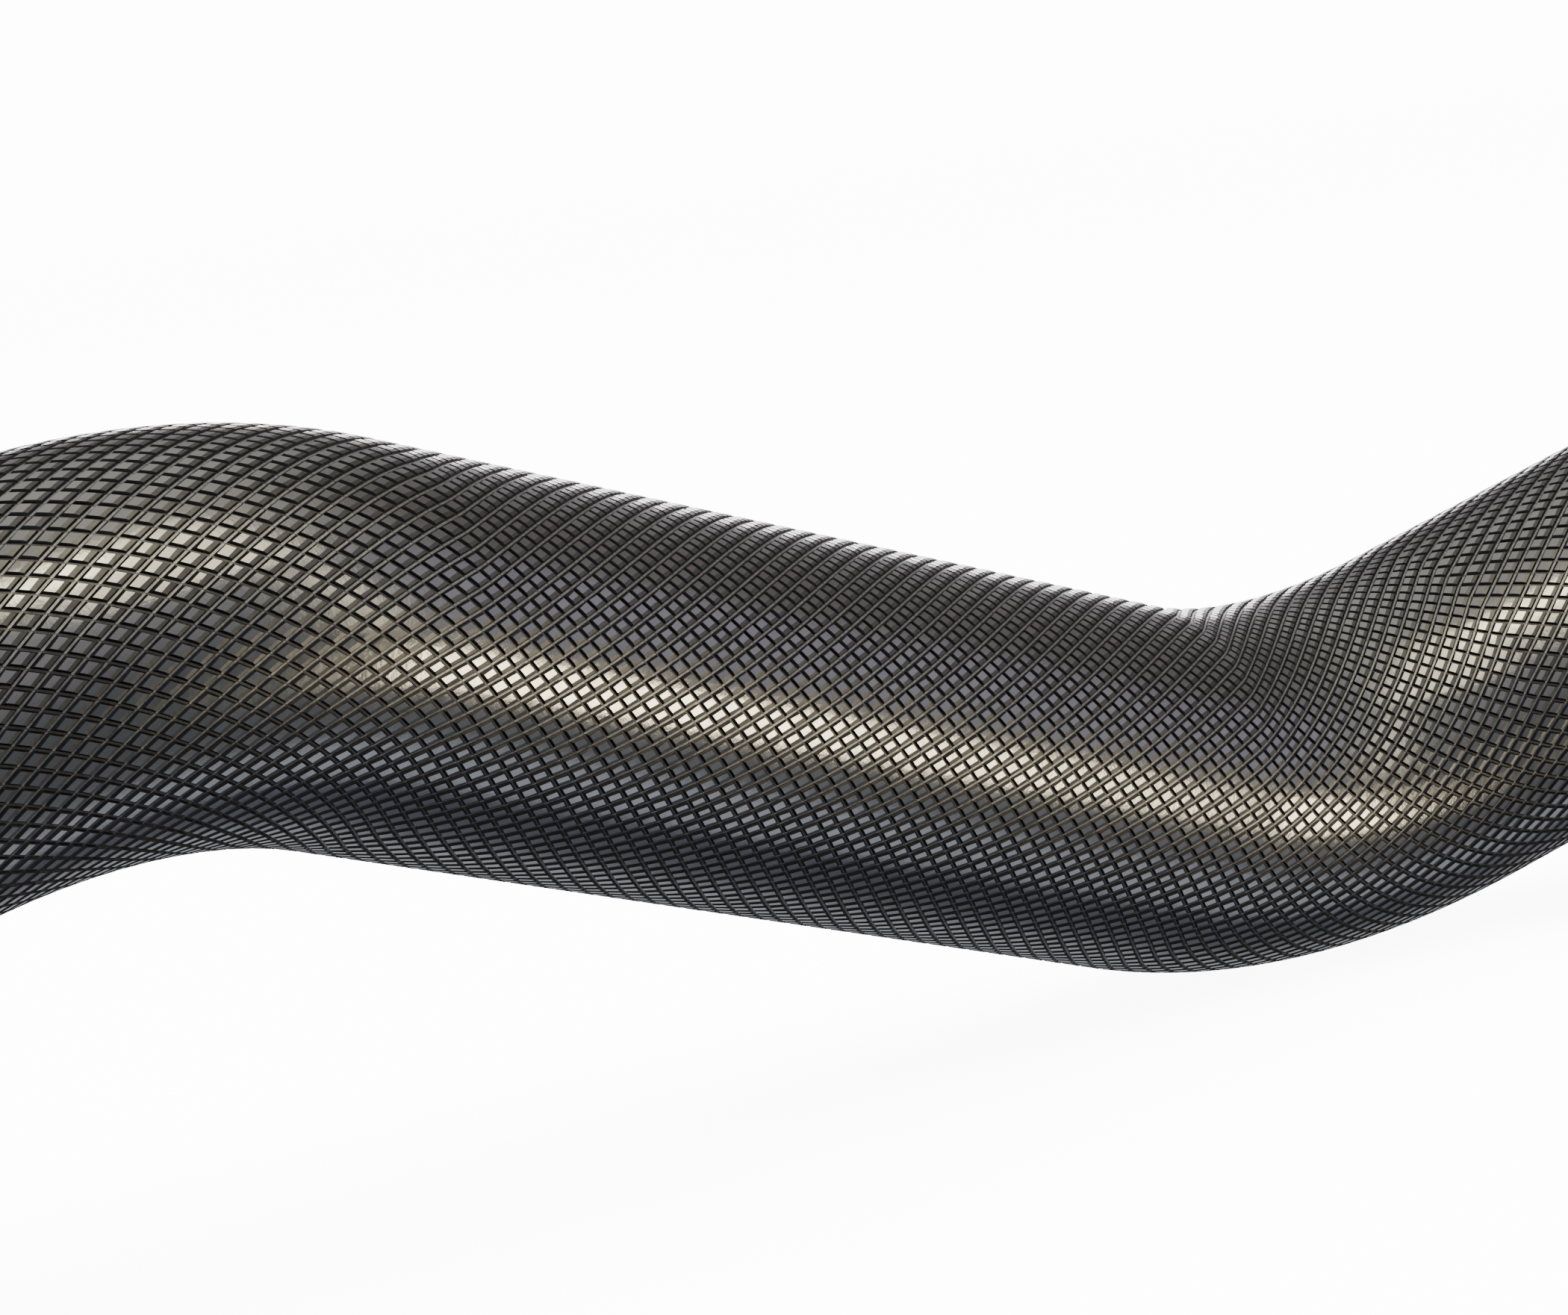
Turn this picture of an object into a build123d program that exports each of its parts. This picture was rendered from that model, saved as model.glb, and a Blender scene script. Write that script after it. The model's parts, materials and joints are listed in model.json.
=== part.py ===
from build123d import *
import math
import os

# An EZ curl bar: a solid knurled bar with a W of four grips in the middle,
# and a free-turning 50 mm sleeve on each end. Millimetres and degrees.
# +X runs along the common axis of the two sleeves, +Z is up, and the origin
# is the middle of the bar on that axis. The bar lies as it does on a floor:
# its two collars and the two low bends of the W all touch z = -collar_r.

# ---- Driving dimensions -------------------------------------------------
grip_d = 28.0           # the bar at the grips
grip_lean = 18.0        # each grip's lean from the sleeve axis
inner_grip = 128.0      # centre bend to low bend, corner to corner
bend_radius = 58.0      # every bend, on the bar's centre line
collar_spacing = 780.0  # between the flanges of the two collars
overall_length = 1200.0
sleeve_d = 50.0         # takes plates with a 50 mm hole
sleeve_wall = 5.0
journal_shoulder = 1.5  # how far the ends are turned down for the sleeves
flange_rim = 17.0       # how far the collar's flange stands out from the sleeve
flange_t = 12.0
neck_wall = 7.0         # the collar's neck, on the grip side of the flange
neck_l = 14.0
seat_step = 0.5         # the sleeve is turned down by this much inside the collar

# ---- Clearances ---------------------------------------------------------
running_gap = 0.05      # radial, journal to bushing
end_play = 0.2          # axial, between a sleeve and its stops
loose_gap = 0.25        # radial, around the screws
circlip_gap = 1.1       # radial, circlip to the end washer inside it

# ---- Small parts --------------------------------------------------------
stop_ring_rim = 7.0     # how far the ring stands out from the grip
stop_ring_l = 10.0
stop_bevel = 2.5
thrust_washer_rim = 1.0 # how far it shows past the stop ring
thrust_washer_t = 1.5
bushing_lip = 3.0       # how far the flange stands out from the bore
bushing_flange_t = 3.0
inner_bushing_l = 30.0
outer_bushing_l = 25.0
circlip_t = 1.75
circlip_w = 2.4         # how far the ring stands in from the sleeve's bore
circlip_groove = 1.25   # how deep its groove is cut
circlip_opening = 24.0  # degrees left open between its ends
end_washer_t = 2.0
end_plate_t = 4.0
lock_washer_rim = 1.0   # how far it shows past the screw head
lock_washer_t = 2.2
lock_washer_split = 1.6
screw_d = 10.0
screw_head_d = 16.0
screw_head_l = 10.0
head_room = 4.0         # screw head to end cap
screw_l = 25.0
hex_across_flats = 8.0
hex_depth = 5.0
tapped_depth = 30.0
cap_disc_t = 3.0
cap_skirt_l = 8.0
cap_skirt_wall = 3.0
cap_dish_d = 30.0
cap_dish_depth = 0.8
edge_break = 1.0
fine_break = 0.4

# ---- The W, worked out in the plane that the bar is bent in --------------
lean = math.radians(grip_lean)
grip_r = grip_d / 2
sleeve_r = sleeve_d / 2
collar_r = sleeve_r + flange_rim
corner_to_apex = bend_radius * (1 / math.cos(lean) - 1)

peak_y = corner_to_apex                      # the centre bend's apex is on the axis
low_x = inner_grip * math.cos(lean)
low_y = peak_y - inner_grip * math.sin(lean)
outer_x = low_x - low_y / math.tan(lean)
low_bend_depth = -low_y - corner_to_apex     # axis to the low bends' centre line

# The bar turns in its sleeves until the low bends rest on the floor. Where the
# collars are too tall for that, the bends hang straight down.
floor_tilt = math.asin(min(1.0, (collar_r - grip_r) / low_bend_depth))
bend_plane = Plane(
    origin=(0, 0, 0),
    x_dir=(1, 0, 0),
    z_dir=(0, -math.sin(floor_tilt), -math.cos(floor_tilt)),
)

# ---- Stations along one half, counted outwards from the middle ----------
bore_r = sleeve_r - sleeve_wall
seat_r = sleeve_r - seat_step
neck_r = sleeve_r + neck_wall
journal_r = grip_r - journal_shoulder
bushing_bore_r = journal_r + running_gap
bushing_flange_r = bore_r + bushing_lip
stop_ring_r = grip_r + stop_ring_rim
thrust_washer_r = stop_ring_r + thrust_washer_rim
end_washer_r = bore_r - circlip_w - circlip_gap
screw_hole_r = screw_d / 2 + loose_gap
lock_washer_r = screw_head_d / 2 + lock_washer_rim

flange_x = collar_spacing / 2
neck_x = flange_x - neck_l
bushing_x = neck_x - bushing_flange_t
thrust_washer_x = bushing_x - end_play - thrust_washer_t
stop_ring_x = thrust_washer_x - stop_ring_l
cap_x = overall_length / 2 - cap_disc_t
skirt_x = cap_x - cap_skirt_l
head_x = cap_x - head_room - screw_head_l
lock_washer_x = head_x - lock_washer_t
end_plate_x = lock_washer_x - end_plate_t
end_washer_x = end_plate_x - end_washer_t
outer_bushing_end_x = end_washer_x - end_play


def outward(side, x):
    """The plane across the bar at a station, facing away from the middle."""
    return Plane(origin=(side * x, 0, 0), x_dir=(0, 1, 0), z_dir=(side, 0, 0))


def rims(piece, radius):
    """The circular edges of one radius."""
    circles = piece.edges().filter_by(GeomType.CIRCLE)
    return circles.filter_by(lambda edge: abs(edge.radius - radius) < 0.01)


def keep(piece, name):
    piece.part.label = name
    export_step(piece.part, f"parts/{name}.step")


def make_ring(side, x, length, outer_r, inner_r, bevel):
    """A plain turned ring, with its outer rims broken."""
    with BuildPart() as ring:
        with BuildSketch(outward(side, x)):
            Circle(outer_r)
            Circle(inner_r, mode=Mode.SUBTRACT)
        extrude(amount=length)
        chamfer(rims(ring, outer_r), bevel)
    return ring


# ---- The bar ------------------------------------------------------------
def make_bar():
    corners = [
        (-stop_ring_x, 0),
        (-outer_x, 0),
        (-low_x, low_y),
        (0, peak_y),
        (low_x, low_y),
        (outer_x, 0),
        (stop_ring_x, 0),
    ]
    with BuildPart() as bar:
        with BuildLine(bend_plane) as centre_line:
            FilletPolyline(*corners, radius=bend_radius)
        with BuildSketch(Plane(origin=centre_line.line @ 0, z_dir=centre_line.line % 0)):
            Circle(grip_r)
        sweep(path=centre_line.line)
        for side in (-1, 1):
            with BuildSketch(outward(side, stop_ring_x)):
                Circle(journal_r)
            extrude(amount=end_plate_x - stop_ring_x)
            with BuildSketch(outward(side, end_plate_x)):
                Circle(screw_d / 2)
            extrude(amount=-tapped_depth, mode=Mode.SUBTRACT)
        chamfer(rims(bar, grip_r).filter_by(Plane.YZ), fine_break)
    return bar


# ---- Pieces fixed to the bar --------------------------------------------
def make_lock_washer(side):
    """A split spring washer."""
    with BuildPart() as washer:
        with BuildSketch(outward(side, lock_washer_x)):
            Circle(lock_washer_r)
            Circle(screw_hole_r, mode=Mode.SUBTRACT)
            with Locations((lock_washer_r, 0)):
                Rectangle(
                    2 * lock_washer_r, lock_washer_split, rotation=20, mode=Mode.SUBTRACT)
        extrude(amount=lock_washer_t)
    return washer


def make_end_screw(side):
    """A socket head screw in the tapped end of the bar."""
    with BuildPart() as screw:
        with BuildSketch(outward(side, head_x)):
            Circle(screw_head_d / 2)
        extrude(amount=screw_head_l)
        with BuildSketch(outward(side, head_x)):
            Circle(screw_d / 2)
        extrude(amount=-screw_l)
        with BuildSketch(outward(side, head_x + screw_head_l)):
            RegularPolygon(hex_across_flats / 2, 6, major_radius=False)
        extrude(amount=-hex_depth, mode=Mode.SUBTRACT)
        far_end = screw.faces().sort_by(Axis.X)[0 if side > 0 else -1]
        chamfer(far_end.edges(), edge_break)
        near_end = screw.faces().sort_by(Axis.X)[-1 if side > 0 else 0]
        chamfer(near_end.outer_wire().edges(), fine_break)
    return screw


# ---- Pieces that turn as one sleeve -------------------------------------
def make_collar(side):
    """The flange that plates are pushed against, with a neck towards the grips."""
    with BuildPart() as collar:
        with BuildSketch(outward(side, neck_x)):
            Circle(neck_r)
        extrude(amount=neck_l)
        with BuildSketch(outward(side, flange_x)):
            Circle(collar_r)
        extrude(amount=flange_t)
        with BuildSketch(outward(side, neck_x)):
            Circle(seat_r)
        extrude(amount=neck_l + flange_t, mode=Mode.SUBTRACT)
        chamfer(rims(collar, collar_r), 2 * edge_break)
        neck_rims = rims(collar, neck_r).sort_by(Axis.X)
        inner_rim, root_rim = neck_rims if side > 0 else reversed(neck_rims)
        fillet(root_rim, 3 * edge_break)
        chamfer(inner_rim, 2 * edge_break)
        bore_rims = rims(collar, seat_r).sort_by(Axis.X)
        chamfer(bore_rims[-1 if side > 0 else 0], seat_step + loose_gap)
    return collar


def make_sleeve(side):
    """The loading tube, with a groove in its bore for the circlip."""
    with BuildPart() as sleeve:
        with BuildSketch(outward(side, neck_x)):
            Circle(seat_r)
        extrude(amount=neck_l + flange_t)
        with BuildSketch(outward(side, flange_x + flange_t)):
            Circle(sleeve_r)
        extrude(amount=cap_x - flange_x - flange_t)
        with BuildSketch(outward(side, neck_x)):
            Circle(bore_r)
        extrude(amount=cap_x - neck_x, mode=Mode.SUBTRACT)
        with BuildSketch(outward(side, outer_bushing_end_x)):
            Circle(bore_r + circlip_groove)
            Circle(bore_r, mode=Mode.SUBTRACT)
        extrude(amount=circlip_t, mode=Mode.SUBTRACT)
        outer_rims = rims(sleeve, sleeve_r).sort_by(Axis.X)
        chamfer(outer_rims[-1 if side > 0 else 0], edge_break)
    return sleeve


def make_inner_bushing(side):
    """Bronze, pressed into the sleeve, with a flange that takes the side load."""
    with BuildPart() as bushing:
        with BuildSketch(outward(side, bushing_x)):
            Circle(bushing_flange_r)
        extrude(amount=bushing_flange_t)
        with BuildSketch(outward(side, neck_x)):
            Circle(bore_r)
        extrude(amount=inner_bushing_l)
        with BuildSketch(outward(side, bushing_x)):
            Circle(bushing_bore_r)
        extrude(amount=bushing_flange_t + inner_bushing_l, mode=Mode.SUBTRACT)
        chamfer(rims(bushing, bushing_flange_r), fine_break)
    return bushing


def make_circlip(side):
    """An open ring that snaps into the sleeve and holds the outer bushing in."""
    slot = math.radians(circlip_opening)
    with BuildPart() as ring:
        with BuildSketch(outward(side, outer_bushing_end_x)):
            Circle(bore_r + circlip_groove)
            Circle(bore_r - circlip_w, mode=Mode.SUBTRACT)
            with Locations((0, bore_r)):
                Rectangle(2 * bore_r * math.sin(slot / 2), bore_r, mode=Mode.SUBTRACT)
        extrude(amount=circlip_t)
    return ring


def make_end_cap(side):
    """A turned cap that is pressed into the open end of the sleeve."""
    with BuildPart() as cap:
        with BuildSketch(outward(side, cap_x)):
            Circle(sleeve_r - edge_break)
        extrude(amount=cap_disc_t)
        with BuildSketch(outward(side, skirt_x)):
            Circle(bore_r)
            Circle(bore_r - cap_skirt_wall, mode=Mode.SUBTRACT)
        extrude(amount=cap_skirt_l)
        with BuildSketch(outward(side, cap_x + cap_disc_t)):
            Circle(cap_dish_d / 2)
        extrude(amount=-cap_dish_depth, mode=Mode.SUBTRACT)
        outer_rims = rims(cap, sleeve_r - edge_break).sort_by(Axis.X)
        chamfer(outer_rims[-1 if side > 0 else 0], edge_break)
    return cap


os.makedirs("parts", exist_ok=True)

keep(make_bar(), "shaft")

for side, hand in ((-1, "left"), (1, "right")):
    stop_ring = make_ring(
        side, stop_ring_x, stop_ring_l, stop_ring_r, journal_r, stop_bevel)
    thrust_washer = make_ring(
        side, thrust_washer_x, thrust_washer_t, thrust_washer_r, journal_r, fine_break)
    outer_bushing = make_ring(
        side, outer_bushing_end_x - outer_bushing_l, outer_bushing_l, bore_r,
        bushing_bore_r, fine_break)
    end_washer = make_ring(
        side, end_washer_x, end_washer_t, end_washer_r, journal_r, fine_break)
    end_plate = make_ring(
        side, end_plate_x, end_plate_t, end_washer_r, screw_hole_r, fine_break)

    keep(stop_ring, f"{hand}_stop_ring")
    keep(thrust_washer, f"{hand}_thrust_washer")
    keep(end_washer, f"{hand}_end_washer")
    keep(end_plate, f"{hand}_end_plate")
    keep(make_lock_washer(side), f"{hand}_lock_washer")
    keep(make_end_screw(side), f"{hand}_end_screw")
    keep(make_collar(side), f"{hand}_collar")
    keep(make_sleeve(side), f"{hand}_sleeve")
    keep(make_inner_bushing(side), f"{hand}_inner_bushing")
    keep(outer_bushing, f"{hand}_outer_bushing")
    keep(make_circlip(side), f"{hand}_circlip")
    keep(make_end_cap(side), f"{hand}_end_cap")

print(f"corner of the low bend: x {low_x:.2f}, depth {-low_y:.2f}")
print(f"outer bends at x {outer_x:.2f}, low bends reach {low_bend_depth:.2f}")
print(f"the bend plane leans {math.degrees(floor_tilt):.2f} degrees")
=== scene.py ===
import bpy
import bmesh
import json
import math
import re
from mathutils import Matrix, Vector


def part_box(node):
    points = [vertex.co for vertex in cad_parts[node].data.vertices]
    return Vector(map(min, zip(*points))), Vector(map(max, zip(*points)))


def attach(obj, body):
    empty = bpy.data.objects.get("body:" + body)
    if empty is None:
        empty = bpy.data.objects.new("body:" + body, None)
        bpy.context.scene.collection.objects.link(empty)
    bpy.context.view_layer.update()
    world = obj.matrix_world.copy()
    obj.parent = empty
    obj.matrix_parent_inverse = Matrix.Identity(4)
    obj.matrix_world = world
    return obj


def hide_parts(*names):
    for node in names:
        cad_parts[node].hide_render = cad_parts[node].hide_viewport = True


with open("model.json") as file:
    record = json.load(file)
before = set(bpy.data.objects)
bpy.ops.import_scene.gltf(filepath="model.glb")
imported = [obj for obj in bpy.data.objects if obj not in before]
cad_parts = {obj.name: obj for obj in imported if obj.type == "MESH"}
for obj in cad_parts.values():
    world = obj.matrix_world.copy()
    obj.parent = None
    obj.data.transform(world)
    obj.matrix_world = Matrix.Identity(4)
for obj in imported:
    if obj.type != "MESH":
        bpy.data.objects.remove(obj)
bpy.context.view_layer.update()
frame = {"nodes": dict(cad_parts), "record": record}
print("frame loaded")


# places on the bar, in metres
bar = dict(
    gripRadius=0.014,
    lean=math.radians(18.0),      # each grip off the sleeve axis
    innerGrip=0.128,              # centre bend to low bend, corner to corner
    bendRadius=0.058,
    knurlPastBend=0.060,          # the knurl runs on past the outer corners
    lineSteps=64,                 # points on each stretch of the centre line
)


def layOut(bar):
    # the W in its own plane, and the tilt that rests its low bends on the floor
    low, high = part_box("right_collar")
    collarRadius = (high.z - low.z) / 2
    apex = bar["bendRadius"] * (1 / math.cos(bar["lean"]) - 1)
    lowX = bar["innerGrip"] * math.cos(bar["lean"])
    lowY = apex - bar["innerGrip"] * math.sin(bar["lean"])
    outerX = lowX - lowY / math.tan(bar["lean"])
    tilt = math.asin(min(1.0, (collarRadius - bar["gripRadius"]) / (-lowY - apex)))
    bar["endX"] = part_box("right_stop_ring")[0].x
    bar["outerX"] = outerX
    bar["corners"] = [(-outerX, 0), (-lowX, lowY), (0, apex), (lowX, lowY), (outerX, 0)]
    bar["across"] = Vector((0, -math.cos(tilt), math.sin(tilt)))
    bar["normal"] = Vector((0, -math.sin(tilt), -math.cos(tilt)))
    bar["floorZ"] = -collarRadius


def onBar(x, y):
    return Vector((x, 0, 0)) + bar["across"] * y


layOut(bar)


# camera: close on the right inner grip, a hand's breadth off the floor
camera = dict(
    distance=0.5256,
    azimuth=math.radians(-41.57),
    elevation=math.radians(4.99),
    roll=math.radians(-6.82),
    aimAside=(0.0026, 0.0044),    # shifts the view off the grip's middle
    lens=169.3,
    sensor=36,
    sees=(0.01, 200),             # nearest and furthest, metres
)


def placeCamera(camera):
    (x0, y0), (x1, y1) = bar["corners"][2:4]
    gripMiddle = onBar((x0 + x1) / 2, (y0 + y1) / 2)
    turn = (
        Matrix.Rotation(camera["azimuth"], 3, "Z")
        @ Matrix.Rotation(math.pi / 2 - camera["elevation"], 3, "X")
        @ Matrix.Rotation(camera["roll"], 3, "Z")
    )
    aside, above = camera["aimAside"]
    place = gripMiddle + turn @ Vector((aside, above, camera["distance"]))
    data = bpy.data.cameras.new("gripCamera")
    data.lens = camera["lens"]
    data.sensor_width = camera["sensor"]
    data.clip_start, data.clip_end = camera["sees"]
    eye = bpy.data.objects.new("gripCamera", data)
    eye.matrix_world = Matrix.Translation(place) @ turn.to_4x4()
    bpy.context.collection.objects.link(eye)
    bpy.context.scene.camera = eye
    return gripMiddle


gripMiddle = placeCamera(camera)
print("camera placed")


# small helpers for node trees
def addNode(tree, kind, **settings):
    made = tree.nodes.new(kind)
    for name, value in settings.items():
        setattr(made, name, value)
    return made


def feed(tree, socket, value):
    # a value or another node's output into one input
    if isinstance(value, bpy.types.NodeSocket):
        tree.links.new(value, socket)
    else:
        socket.default_value = value


def calc(tree, operation, *values):
    made = addNode(tree, "ShaderNodeMath", operation=operation)
    for socket, value in zip(made.inputs, values):
        feed(tree, socket, value)
    return made.outputs[0]


def vectorCalc(tree, operation, first, second=None, scale=None):
    made = addNode(tree, "ShaderNodeVectorMath", operation=operation)
    feed(tree, made.inputs[0], first)
    if second is not None:
        feed(tree, made.inputs[1], second)
    if scale is not None:
        feed(tree, made.inputs["Scale"], scale)
    return made.outputs["Value" if operation in ("DOT_PRODUCT", "LENGTH") else "Vector"]


def newTree(name, kind, inputs, outputs):
    tree = bpy.data.node_groups.new(name, kind)
    for socketName, socketKind, value in inputs:
        socket = tree.interface.new_socket(socketName, in_out="INPUT", socket_type=socketKind)
        if value is not None:
            socket.default_value = value
    for socketName, socketKind in outputs:
        tree.interface.new_socket(socketName, in_out="OUTPUT", socket_type=socketKind)
    return tree, addNode(tree, "NodeGroupInput").outputs, addNode(tree, "NodeGroupOutput").inputs


def setInputs(modifier, values):
    for item in modifier.node_group.interface.items_tree:
        if item.item_type == "SOCKET" and item.in_out == "INPUT" and item.name in values:
            modifier[item.identifier] = values[item.name]


def makeFromTree(name, tree, values):
    # runs a geometry tree and keeps its result as a plain mesh at the origin
    holder = bpy.data.objects.new(name + "Holder", bpy.data.meshes.new(name + "Holder"))
    bpy.context.collection.objects.link(holder)
    modifier = holder.modifiers.new("build", "NODES")
    modifier.node_group = tree
    setInputs(modifier, values)
    graph = bpy.context.evaluated_depsgraph_get()
    mesh = bpy.data.meshes.new_from_object(holder.evaluated_get(graph), depsgraph=graph)
    mesh.name = name
    holder.modifiers.clear()
    bpy.data.objects.remove(holder)
    piece = bpy.data.objects.new(name, mesh)
    bpy.context.collection.objects.link(piece)
    return piece


# shader groups that several finishes share
def setRange(tree, node, value, low, high):
    node.inputs["From Min"].default_value = low
    node.inputs["From Max"].default_value = high
    feed(tree, node.inputs["Value"], value)
    return node.outputs["Result"]


groups = dict(
    mottleDetail=4.0, mottleRough=0.6, mottleRange=(0.32, 0.68),
    faceShare=1.37,                 # lets the same rings run on over a face
    ringDetail=3.0, streakFine=900.0, streakRound=1.2, streakDetail=5.0,
    scuffDetail=2.0, scuffRange=(0.66, 0.74),
    scuffWays=[((1.0, 14.0, 14.0), 0.5), ((11.0, 1.3, 8.0), -0.7)],     # stretch and turn
    scuffLean=0.3,
    scuffRough=0.25,                # how much rougher a turned face is in a scuff
)


def makeMottleGroup():
    # soft patches between two values, for uneven polish and handling
    tree, source, result = newTree(
        "mottle", "ShaderNodeTree",
        [("Coordinates", "NodeSocketVector", None), ("Scale", "NodeSocketFloat", 100.0),
         ("Low", "NodeSocketFloat", 0.2), ("High", "NodeSocketFloat", 0.4)],
        [("Value", "NodeSocketFloat")])
    patches = addNode(tree, "ShaderNodeTexNoise", noise_dimensions="3D")
    patches.inputs["Detail"].default_value = groups["mottleDetail"]
    patches.inputs["Roughness"].default_value = groups["mottleRough"]
    feed(tree, patches.inputs["Vector"], source["Coordinates"])
    feed(tree, patches.inputs["Scale"], source["Scale"])
    spread = addNode(tree, "ShaderNodeMapRange", clamp=True)
    feed(tree, spread.inputs["To Min"], source["Low"])
    feed(tree, spread.inputs["To Max"], source["High"])
    feed(tree, result["Value"],
         setRange(tree, spread, patches.outputs["Fac"], *groups["mottleRange"]))
    return tree


def makeLatheGroup():
    # fine rings about the X axis, on faces and on round walls alike
    tree, source, result = newTree(
        "latheMarks", "ShaderNodeTree",
        [("Coordinates", "NodeSocketVector", None), ("Rings", "NodeSocketFloat", 2500.0),
         ("Streak", "NodeSocketFloat", 0.5)],
        [("Height", "NodeSocketFloat"), ("Streaks", "NodeSocketFloat")])
    parts = addNode(tree, "ShaderNodeSeparateXYZ")
    feed(tree, parts.inputs[0], source["Coordinates"])
    y, z = parts.outputs["Y"], parts.outputs["Z"]
    squares = calc(tree, "ADD", calc(tree, "MULTIPLY", y, y), calc(tree, "MULTIPLY", z, z))
    radius = calc(tree, "SQRT", squares)
    along = calc(tree, "ADD", parts.outputs["X"],
                 calc(tree, "MULTIPLY", radius, groups["faceShare"]))
    rings = addNode(tree, "ShaderNodeTexNoise", noise_dimensions="1D")
    rings.inputs["Detail"].default_value = groups["ringDetail"]
    feed(tree, rings.inputs["W"], along)
    feed(tree, rings.inputs["Scale"], source["Rings"])
    angle = calc(tree, "ARCTAN2", y, z)
    joined = addNode(tree, "ShaderNodeCombineXYZ")
    feed(tree, joined.inputs["X"], calc(tree, "MULTIPLY", along, groups["streakFine"]))
    feed(tree, joined.inputs["Y"], calc(tree, "MULTIPLY", angle, groups["streakRound"]))
    streaks = addNode(tree, "ShaderNodeTexNoise", noise_dimensions="2D")
    streaks.inputs["Scale"].default_value = 1.0
    streaks.inputs["Detail"].default_value = groups["streakDetail"]
    feed(tree, streaks.inputs["Vector"], joined.outputs[0])
    faded = calc(tree, "MULTIPLY", streaks.outputs["Fac"], source["Streak"])
    feed(tree, result["Height"], rings.outputs["Fac"])
    feed(tree, result["Streaks"], faded)
    return tree


def makeScuffGroup():
    # sparse crossing scratches, 0 where the surface is clean
    tree, source, result = newTree(
        "scuffs", "ShaderNodeTree",
        [("Coordinates", "NodeSocketVector", None), ("Density", "NodeSocketFloat", 60.0),
         ("Amount", "NodeSocketFloat", 1.0)],
        [("Mask", "NodeSocketFloat")])
    masks = []
    for stretch, way in groups["scuffWays"]:
        mapped = addNode(tree, "ShaderNodeMapping")
        mapped.inputs["Scale"].default_value = stretch
        mapped.inputs["Rotation"].default_value = (way, groups["scuffLean"], way)
        feed(tree, mapped.inputs["Vector"], source["Coordinates"])
        lines = addNode(tree, "ShaderNodeTexNoise", noise_dimensions="3D")
        lines.inputs["Detail"].default_value = groups["scuffDetail"]
        feed(tree, lines.inputs["Scale"], source["Density"])
        feed(tree, lines.inputs["Vector"], mapped.outputs[0])
        thin = addNode(tree, "ShaderNodeMapRange", clamp=True)
        masks.append(setRange(tree, thin, lines.outputs["Fac"], *groups["scuffRange"]))
    both = calc(tree, "MAXIMUM", *masks)
    feed(tree, result["Mask"], calc(tree, "MULTIPLY", both, source["Amount"]))
    return tree


mottleGroup = makeMottleGroup()
latheGroup = makeLatheGroup()
scuffGroup = makeScuffGroup()


def useGroup(tree, group, **values):
    made = addNode(tree, "ShaderNodeGroup", node_tree=group)
    for name, value in values.items():
        feed(tree, made.inputs[name], value)
    return made.outputs


def newFinish(name):
    material = bpy.data.materials.new(name)
    material.use_nodes = True
    tree = material.node_tree
    shader = tree.nodes["Principled BSDF"]
    coordinates = addNode(tree, "ShaderNodeTexCoord").outputs["Object"]
    return material, tree, shader, coordinates


def blendColour(tree, factor, first, second):
    made = addNode(tree, "ShaderNodeMix", data_type="RGBA")
    feed(tree, made.inputs["Factor"], factor)
    feed(tree, made.inputs["A"], first)
    feed(tree, made.inputs["B"], second)
    return made.outputs["Result"]


def addBump(tree, shader, height, depth):
    bump = addNode(tree, "ShaderNodeBump")
    bump.inputs["Strength"].default_value = 1.0
    bump.inputs["Distance"].default_value = depth
    feed(tree, bump.inputs["Height"], height)
    feed(tree, shader.inputs["Normal"], bump.outputs["Normal"])


# finishes
knurlFinish = dict(
    crest=(0.50, 0.495, 0.50, 1),         # lands
    crestDull=(0.38, 0.375, 0.385, 1),
    valley=(0.43, 0.435, 0.455, 1),       # groove floors
    # painted shade: the groove walls, the dressed sides and the floors of the crossing grooves
    # blend toward this near-black colour
    grooveShade=(0.05, 0.048, 0.053, 1),
    # painted shade: patches of the grooves darken further toward this colour
    patchyGrooveShade=(0.03, 0.028, 0.028, 1),
    polish=(0.13, 0.21),                  # roughness of the lands
    valleyRough=0.25,                     # how much rougher the grooves are
    patchyGrooveShadeShare=0.4,
    handledPatch=55.0, grooveShadePatch=2600.0, polishPatch=420.0,
    grainFine=3200.0, grainDetail=3.0, grainDepth=0.000008,
)


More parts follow.
